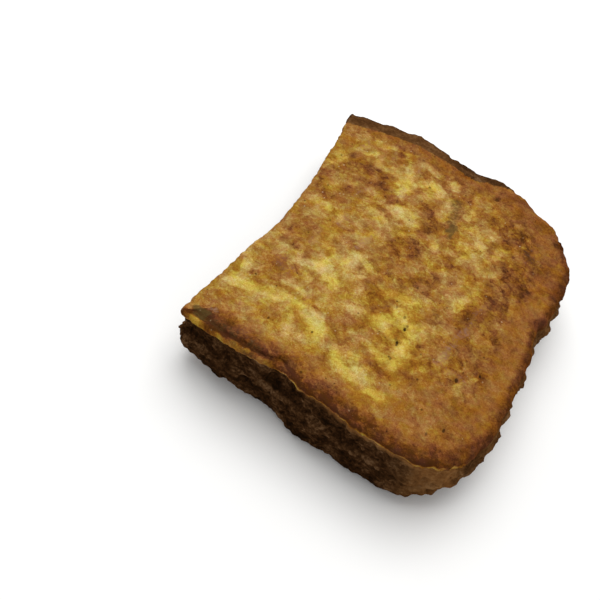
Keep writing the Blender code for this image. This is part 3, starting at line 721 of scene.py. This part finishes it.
def under_looks(points, depth):
    """The underside's looks: browned all over, a little paler where it bridged the griddle, with patches of
    painted sheen.
    """
    strayed = wandered(points, UNDER_WANDER)
    toast = UNDER_TOAST + sum(uneven(strayed, *wave) for wave in UNDER_MOTTLE)
    return {"toast": toast + 0.15 * (1.0 - soft_step(0.003, 0.010, depth)),
            "crust": 0.6 * (1.0 - soft_step(0.0, 0.0035, depth)),
            "sheen": 0.4 * soft_step(0.1, 0.5, ripple(strayed, 0.008, 85.0))}


def wall_looks(rim, outward, high, rows):
    """The crust walls' looks: dark bark, tan at the ears, with yellow egg along the lip."""
    points, count = np.vstack(rows), len(rows)
    x = part_place(points)[:, 0]
    below = np.tile(high, count) - points[:, 2]
    front = np.tile(soft_step(*FRONT_WALL_FADE, -outward[:, 1]), count)
    ragged = below + sum(uneven(points, *wave) for wave in RAGGED_HEM)
    crust = 1.0 - front * (1.0 - soft_step(*WALL_EGG_HEM, ragged))
    # The ears are tan where the wall turns from the front or back to the crown.
    turned = outward[:, 0] + uneven(rim, 0.20, 0.006, 94.0)
    facing = outward[:, 0] + uneven(rim, 0.30, 0.010, 95.0)
    ears = soft_step(0.05, 0.75, turned) * (1.0 - 0.85 * soft_step(0.72, 1.04, facing))
    tan = np.maximum(ears, 0.40 * soft_step(-0.6, -0.1, outward[:, 1]))
    tan = np.tile(tan, count) * (1.15 - 0.5 * soft_step(0.004, 0.018, below))
    # Towards the crown the set egg hangs down the front wall as a ragged tan band.
    reach = 0.0008 + 0.0012 * soft_step(-14.0, 4.0, x) + 0.0014 * soft_step(16.0, 36.0, x)
    hanging = ragged + uneven(points, *HANGING_HEM)
    tan = np.maximum(tan, 0.28 * front * soft_step(18.0, 40.0, x))
    tan = np.maximum(tan, 0.85 * front * (1.0 - soft_step(reach - 0.0005, reach + 0.0012, hanging)))
    egg = WALL_EGG_TOAST + 0.10 * soft_step(-12.0, 16.0, x) + uneven(points, *EGG_WAVE)
    low = taper(rim[:, 0], BASE_LIFT, CROWN_LIFT)
    # How strongly the fold shows. The bark's colour is painted lighter there as a painted highlight.
    ridge = np.concatenate([crease(rim, (row[:, 2] - low) / (high - low), high - low) for row in rows])
    return {"toast": egg, "crust": crust, "tan": tan, "ridge": ridge}


def put(tree, kind, inputs=None, **settings):
    """Adds a node to a tree with its settings, and links or sets its inputs by name or number."""
    node = tree.nodes.new(kind)
    for name, value in settings.items():
        setattr(node, name, value)
    for name, value in (inputs or {}).items():
        if isinstance(value, bpy.types.NodeSocket):
            tree.links.new(value, node.inputs[name])
        else:
            node.inputs[name].default_value = value
    return node


def sum_of(tree, kind, *values):
    """One sum over sockets or numbers, such as MULTIPLY_ADD."""
    return put(tree, "ShaderNodeMath", dict(enumerate(values)), operation=kind).outputs[0]


def vector_sum(tree, kind, first, second):
    """One sum over two vectors, such as ADD."""
    return put(tree, "ShaderNodeVectorMath", {0: first, 1: second}, operation=kind).outputs[0]


def product(tree, first, *others):
    """Sockets or numbers multiplied together."""
    for other in others:
        first = sum_of(tree, "MULTIPLY", first, other)
    return first


def weighed(tree, start, *parts):
    """A start and, on top of it, each part times its weight."""
    for part, weight in parts:
        start = sum_of(tree, "MULTIPLY_ADD", part, weight, start)
    return start


def within(tree, value):
    """A value held between 0 and 1."""
    return put(tree, "ShaderNodeClamp", {"Value": value}).outputs[0]


def ramped(tree, low, high, value):
    """0 up to low, 1 from high on, and a soft ramp between them, which falls if low is above high."""
    inputs = {"Value": value, "From Min": low, "From Max": high}
    return put(tree, "ShaderNodeMapRange", inputs, interpolation_type="SMOOTHSTEP").outputs[0]


def blended(tree, share, first, second, kind="MIX"):
    """The first colour turned into the second by a share."""
    node = put(tree, "ShaderNodeMix", {0: share, 6: first, 7: second}, data_type="RGBA", blend_type=kind)
    return node.outputs[2]


def tones(tree, share, stops):
    """A colour picked from a row of tones by a share."""
    node = put(tree, "ShaderNodeValToRGB", {0: share})
    ramp = node.color_ramp
    while len(ramp.elements) < len(stops):
        ramp.elements.new(0.5)
    for element, (place, colour) in zip(ramp.elements, stops):
        element.position = place
        element.color = (*colour, 1.0)
    return node.outputs[0]


def group(name, inputs, outputs):
    """An empty shader node group with named inputs, given with their usual values, and outputs."""
    tree = bpy.data.node_groups.new(name, "ShaderNodeTree")
    for label, usual in inputs.items():
        tree.interface.new_socket(label, in_out="INPUT", socket_type="NodeSocketFloat").default_value = usual
    for label in outputs:
        tree.interface.new_socket(label, in_out="OUTPUT", socket_type="NodeSocketFloat")
    return tree, put(tree, "NodeGroupInput").outputs, put(tree, "NodeGroupOutput").inputs


def placed(tree, made, *values):
    """The outputs of a group placed in a tree with its own values, in the order of its inputs."""
    return put(tree, "ShaderNodeGroup", dict(enumerate(values)), node_tree=made).outputs


def own_place(tree):
    """Places on the slice, which stay with it wherever it is moved."""
    return put(tree, "ShaderNodeTexCoord").outputs["Object"]


def strayed_place(tree, given):
    """Places scaled to a given size in MM, stretched along X and then turned, and moved about a little."""
    turned = {"Vector": own_place(tree), "Angle": given["Turn"]}
    place = put(tree, "ShaderNodeVectorRotate", turned, rotation_type="Z_AXIS").outputs[0]
    across = sum_of(tree, "DIVIDE", 1.0 / MM, given["Size"])
    along = sum_of(tree, "DIVIDE", across, given["Stretch"])
    scale = put(tree, "ShaderNodeCombineXYZ", {0: along, 1: across, 2: across}).outputs[0]
    seeded = put(tree, "ShaderNodeCombineXYZ", {0: given["Seed"], 1: 3.7, 2: 1.9}).outputs[0]
    moved = vector_sum(tree, "ADD", vector_sum(tree, "MULTIPLY", place, scale), seeded)
    swirl = put(tree, "ShaderNodeTexNoise", {"Vector": moved, "Scale": 0.8, "Detail": 2.0}).outputs["Color"]
    swirling = {0: vector_sum(tree, "SUBTRACT", swirl, (0.5, 0.5, 0.5)), "Scale": given["Stray"]}
    stray = put(tree, "ShaderNodeVectorMath", swirling, operation="SCALE").outputs[0]
    return vector_sum(tree, "ADD", moved, stray)


def strayed_noise():
    """Noise about 0 with feathery features."""
    tree, given, made = group("strayed_noise", STRAYED, ("Value",))
    place = strayed_place(tree, given)
    fine = put(tree, "ShaderNodeTexNoise", {"Vector": place, "Scale": 1.0, "Detail": 2.5, "Roughness": 0.55})
    tree.links.new(sum_of(tree, "SUBTRACT", fine.outputs["Fac"], 0.5), made["Value"])
    return tree


def flakes():
    """Irregular flakes, each with its own value about 0, and the seams between them."""
    tree, given, made = group("flakes", STRAYED, ("Value", "Seam"))
    place = strayed_place(tree, given)
    cell = put(tree, "ShaderNodeTexVoronoi", {"Vector": place, "Scale": 1.0})
    shade = put(tree, "ShaderNodeSeparateColor", {0: cell.outputs["Color"]}).outputs[0]
    gap = put(tree, "ShaderNodeTexVoronoi", {"Vector": place, "Scale": 1.0}, feature="DISTANCE_TO_EDGE")
    tree.links.new(sum_of(tree, "SUBTRACT", shade, 0.5), made["Value"])
    tree.links.new(ramped(tree, 0.12, 0.0, gap.outputs["Distance"]), made["Seam"])
    return tree


def pinholes():
    """Small round specks of about a given size in MM, one in a given share of cells a spacing wide."""
    tree, given, made = group("pinholes", {"Size": 0.5, "Spacing": 3.0, "Share": 0.3}, ("Mask",))
    scale = sum_of(tree, "DIVIDE", 1.0 / MM, given["Spacing"])
    cell = put(tree, "ShaderNodeTexVoronoi", {"Vector": own_place(tree), "Scale": scale})
    chance = put(tree, "ShaderNodeSeparateColor", {0: cell.outputs["Color"]}).outputs
    reach = sum_of(tree, "DIVIDE", given["Size"], given["Spacing"])
    reach = product(tree, reach, weighed(tree, 0.4, (chance[1], 0.7)))
    near = ramped(tree, reach, product(tree, reach, 0.35), cell.outputs["Distance"])
    chosen = sum_of(tree, "LESS_THAN", chance[0], given["Share"])
    tree.links.new(product(tree, near, chosen), made["Mask"])
    return tree


def seam_hole():
    """One small hole at a named place of the upper face, in MM, longer along Y."""
    tree, given, made = group("seam_hole", {"X": 0.0, "Y": 0.0, "Size": 0.5}, ("Mask",))
    place = put(tree, "ShaderNodeSeparateXYZ", {0: own_place(tree)}).outputs
    across = sum_of(tree, "SUBTRACT", product(tree, place[0], 1.0 / MM), given["X"])
    along = sum_of(tree, "SUBTRACT", product(tree, place[1], 1.0 / MM), given["Y"])
    along = product(tree, along, 0.65)
    away = sum_of(tree, "SQRT", weighed(tree, product(tree, along, along), (across, across)))
    near = ramped(tree, given["Size"], product(tree, given["Size"], 0.45), away)
    above = sum_of(tree, "GREATER_THAN", place[2], 0.5 * THICKNESS)
    tree.links.new(product(tree, near, above), made["Mask"])
    return tree


def look(tree, name):
    """One of the looks stored at the points of the slice."""
    return put(tree, "ShaderNodeAttribute", attribute_name=name, attribute_type="GEOMETRY").outputs["Fac"]


def markings(tree):
    """The noise, flakes, painted glints and holes that the crust's colour and relief are made of."""
    feathery, flaky, specks = strayed_noise(), flakes(), pinholes()
    marks = {name: placed(tree, feathery, *values)["Value"] for name, values in FEATHERY.items()}
    marks |= {name: placed(tree, flaky, *values) for name, values in FLAKY.items()}
    marks |= {name: placed(tree, specks, *values)["Mask"] for name, values in SPECKS.items()}
    return SimpleNamespace(**marks)


def holes_shown(tree, marks):
    """How dark the painted shade in the face's holes is: scattered ones, and those at named places."""
    holes = product(tree, sum_of(tree, "MAXIMUM", marks.small_holes, marks.large_holes), SPECK_DARKNESS)
    named = seam_hole()
    for x, y, size, dark in SEAM_HOLES:
        hole = product(tree, placed(tree, named, x, y, size)["Mask"], dark)
        holes = sum_of(tree, "MAXIMUM", holes, hole)
    return holes


def painted_sheen_mask(tree, looks, marks):
    """Where the face is painted with an oily sheen, a painted highlight, broken up by crumbs."""
    broken = weighed(tree, looks.sheen, (marks.crumbs, 1.8), (marks.grit, 1.6), (marks.streaks, 1.0))
    return product(tree, ramped(tree, 0.30, 1.20, broken), ramped(tree, 0.15, 0.75, looks.sheen))


def browned(tree, looks, marks, liveliness):
    """The colour of the browned egg: mottled, and redder, yellower or clearer in places."""
    # The seams between the large flakes darken the colour a little: painted shadow along them.
    mottle = weighed(tree, 0.0, (marks.blotches, 0.31), (marks.streaks, 0.36), (marks.crumbs, 0.50),
                     (marks.large_flakes["Value"], 0.17), (marks.small_flakes["Value"], 0.17),
                     (marks.large_flakes["Seam"], 0.05))
    level = within(tree, weighed(tree, looks.toast, (mottle, liveliness), (marks.grit, 0.54)))
    rust = weighed(tree, marks.rust, (looks.calm, 0.06), (marks.crumbs, 0.5))
    tint = blended(tree, ramped(tree, -0.22, 0.24, rust), YELLOWER, REDDER)
    colour = blended(tree, 1.0, tones(tree, level, EGG_TONES), tint, "MULTIPLY")
    clear = weighed(tree, marks.clear_egg, (marks.grit, 0.5), (looks.yolk, 0.12))
    return blended(tree, ramped(tree, -0.22, 0.22, clear), colour, CLEARER, "MULTIPLY")


def patches(tree, looks, marks, painted_sheen_share, holes):
    """What lies on the browned egg, from the bottom up, among it painted sheen, shade and glints: how far
    each shows, and its colour.
    """
    stained = ramped(tree, 0.10, 1.20, weighed(tree, looks.stain, (marks.crumbs, 1.4)))
    groove_shade_share = ramped(tree, 0.20, 0.90, weighed(tree, looks.groove, (marks.streaks, 1.2)))
    # Where the painted glints may show.
    painted_glint_share = ramped(tree, -0.05, 0.12, weighed(tree, marks.blotches, (looks.calm, -0.2)))
    return (
        (product(tree, stained, ramped(tree, 0.05, 0.40, looks.stain), 0.75), STAIN_COLOUR),
        (product(tree, painted_sheen_share, 0.55), PAINTED_SHEEN_COLOUR),
        (product(tree, groove_shade_share, 0.65), PAINTED_GROOVE_SHADE),
        (product(tree, marks.glints, painted_glint_share, 0.6), PAINTED_GLINT_COLOUR),
        (holes, PAINTED_HOLE_SHADE),
    )


def bark_colour(tree, looks, marks):
    """The colour of the crust walls: nearly black bark, painted lighter along its fold as a painted
    highlight, and tan ears.
    """
    bark = within(tree, weighed(tree, 0.40, (looks.ridge, 0.22), (marks.rough_bark, 2.1),
                                (marks.fine_bark, 1.5), (marks.grit, 0.5)))
    ear = weighed(tree, 0.36, (bark, 0.62))
    return blended(tree, looks.tan, tones(tree, bark, BARK_TONES), tones(tree, ear, EAR_TONES))


def crust_height(tree, marks, liveliness, holes, barked):
    """The height of the finest relief in MM, on the face and on the bark."""
    face = weighed(tree, 0.0, (marks.crumbs, 0.26), (marks.streaks, 0.30),
                   (marks.large_flakes["Seam"], -0.05), (marks.small_flakes["Value"], 0.10))
    face = weighed(tree, product(tree, marks.grit, 0.16), (face, liveliness), (holes, -0.38))
    bark = weighed(tree, 0.0, (marks.fine_bark, 0.8), (marks.rough_bark, 0.9), (marks.grit, 0.35))
    return put(tree, "ShaderNodeMix", {0: barked, 2: face, 3: bark}).outputs[0]


def egg_bread():
    """Bread browned in its egg coat: mottled faces, dark bark on the walls, and an oily sheen painted into
    the colour.
    """
    material = bpy.data.materials.new("griddled_egg_bread")
    material.use_nodes = True
    tree = material.node_tree
    tree.nodes.clear()
    looks = SimpleNamespace(**{name: look(tree, name) for name in LOOKS})
    marks = markings(tree)
    # The mottling is livelier where the face is browner, and fainter where it is calm.
    liveliness = weighed(tree, 0.60, (looks.toast, 0.9))
    liveliness = product(tree, liveliness, weighed(tree, 1.0, (looks.calm, -0.45)))
    painted_sheen_share, holes = painted_sheen_mask(tree, looks, marks), holes_shown(tree, marks)
    barked = ramped(tree, 0.35, 0.65, weighed(tree, looks.crust, (marks.crumbs, 0.8)))

    colour = browned(tree, looks, marks, liveliness)
    for share, patch_colour in patches(tree, looks, marks, painted_sheen_share, holes):
        colour = blended(tree, share, colour, patch_colour)
    colour = blended(tree, barked, colour, bark_colour(tree, looks, marks))
    height = crust_height(tree, marks, liveliness, holes, barked)
    relief = {"Height": height, "Distance": MM, "Strength": RELIEF_STRENGTH}
    roughness = weighed(tree, PLAIN_ROUGHNESS, (marks.crumbs, 0.35), (painted_sheen_share, -0.12), (barked, 0.22))
    shader = put(tree, "ShaderNodeBsdfPrincipled", {
        "Base Color": colour, "Roughness": within(tree, roughness), "Specular IOR Level": 0.0,
        "Normal": put(tree, "ShaderNodeBump", relief).outputs[0]})
    put(tree, "ShaderNodeOutputMaterial", {"Surface": shader.outputs[0]})
    return material


def floor():
    """A plain pale floor under the slice."""
    mesh = bpy.data.meshes.new("pale_floor")
    corners = [(x * FLOOR_HALF, y * FLOOR_HALF, 0.0) for x, y in ((-1, -1), (1, -1), (1, 1), (-1, 1))]
    mesh.from_pydata(corners, [], [(0, 1, 2, 3)])
    material = bpy.data.materials.new("pale_floor")
    material.use_nodes = True
    shader = material.node_tree.nodes["Principled BSDF"]
    shader.inputs["Base Color"].default_value = FLOOR_COLOUR
    shader.inputs["Roughness"].default_value = FLOOR_ROUGHNESS
    shader.inputs["Specular IOR Level"].default_value = FLOOR_GLOSS
    mesh.materials.append(material)
    made = bpy.data.objects.new("pale_floor", mesh)
    bpy.context.scene.collection.objects.link(made)
    return made


def studio_light():
    """Soft light from overhead, a little behind the slice, and a pale surround."""
    world = bpy.data.worlds.new("studio")
    world.use_nodes = True
    background = world.node_tree.nodes["Background"]
    background.inputs["Color"].default_value = SKY_COLOUR
    background.inputs["Strength"].default_value = SKY_LIGHT
    bpy.context.scene.world = world
    lamp = bpy.data.lights.new("overhead_softbox", "AREA")
    lamp.shape = "SQUARE"
    lamp.size = LAMP_SIZE
    lamp.energy = LAMP_WATTS
    made = bpy.data.objects.new("overhead_softbox", lamp)
    made.location = LAMP_PLACE
    made.rotation_euler = Vector(LAMP_PLACE).to_track_quat("Z", "Y").to_euler()
    bpy.context.scene.collection.objects.link(made)


def camera():
    """A camera that sees the slice as the photograph does."""
    data = bpy.data.cameras.new("camera")
    data.lens = LENS_MM
    data.sensor_width = PICTURE_WIDTH_MM
    data.clip_start = NEAREST_SEEN
    made = bpy.data.objects.new("camera", data)
    back = -Vector(CAMERA_AIM).normalized()
    right = Vector(CAMERA_TOP).cross(back).normalized()
    turn = Matrix((right, back.cross(right), back)).transposed()
    made.matrix_world = Matrix.Translation(CAMERA_PLACE) @ turn.to_4x4()
    bpy.context.scene.collection.objects.link(made)
    bpy.context.scene.camera = made


camera()
studio_light()
floor()
bpy.context.scene.view_settings.view_transform = "Standard"

toasted_slice = bpy.data.objects.new("toasted_slice", slice_mesh())
toasted_slice.data.materials.append(egg_bread())
bpy.context.scene.collection.objects.link(toasted_slice)
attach(toasted_slice, "root")
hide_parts("french_toast_slice")
